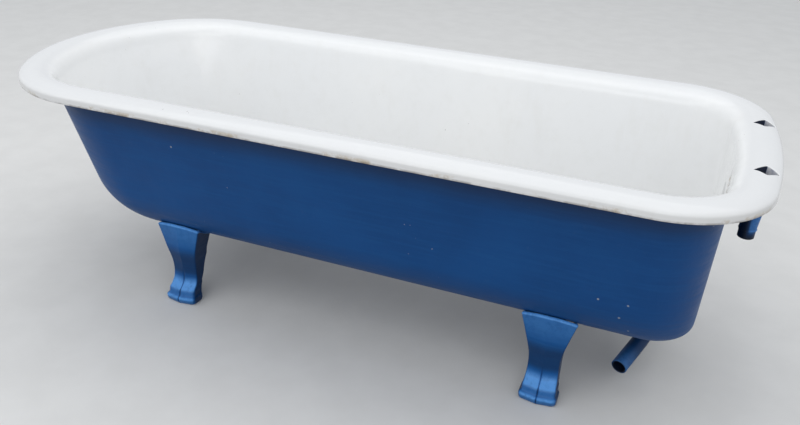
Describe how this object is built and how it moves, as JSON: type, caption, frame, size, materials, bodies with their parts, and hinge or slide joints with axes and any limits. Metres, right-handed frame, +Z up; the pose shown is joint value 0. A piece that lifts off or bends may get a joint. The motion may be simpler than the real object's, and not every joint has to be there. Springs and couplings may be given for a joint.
{
  "type": "roll top bathtub",
  "caption": "Free-standing enamelled cast iron bath with a rolled rim, bare tap holes, bolted cabriole feet, waste elbow and overflow horn.",
  "frame": {"origin": "on the floor, below the middle of the rim", "axes": "+X along the bath to the tap end, +Y to the far side, +Z up"},
  "size_m": [1.6798, 0.7346, 0.532],
  "materials": {
    "white_enamel": "glossy vitreous enamel fired on iron",
    "blue_iron": "cast iron, brush painted in semi-gloss blue",
    "blue_foot": "cast iron, brush painted in gloss blue",
    "blue_pipe": "painted semi-gloss blue with the shell",
    "dark_steel": "dull, slightly rusted steel",
    "bare_brass": "dull cast brass",
    "chromed_brass": "polished chrome plate",
    "black_rubber": "matt moulded rubber"
  },
  "bodies": {
    "tub": {"tub_casting": "blue_iron", "enamel_lining": "white_enamel", "foot_near_head": "blue_foot", "foot_near_tap": "blue_foot", "foot_far_head": "blue_foot", "foot_far_tap": "blue_foot", "foot_studs": "dark_steel", "foot_washers": "dark_steel", "foot_nuts": "dark_steel", "waste_flange": "chromed_brass", "waste_seal": "black_rubber", "waste_gasket": "black_rubber", "waste_backnut": "bare_brass", "waste_elbow": "blue_pipe", "waste_union_nut": "blue_pipe", "overflow_horn": "blue_pipe", "overflow_gasket": "black_rubber", "overflow_screws": "dark_steel"},
    "plug": {"waste_plug": "black_rubber", "plug_ring": "chromed_brass"}
  },
  "joints": [
    {"name": "plug_lift", "type": "slide", "parent": "tub", "child": "plug", "axis": [0, 0, 1], "range_m": [0, 0.4]}
  ]
}
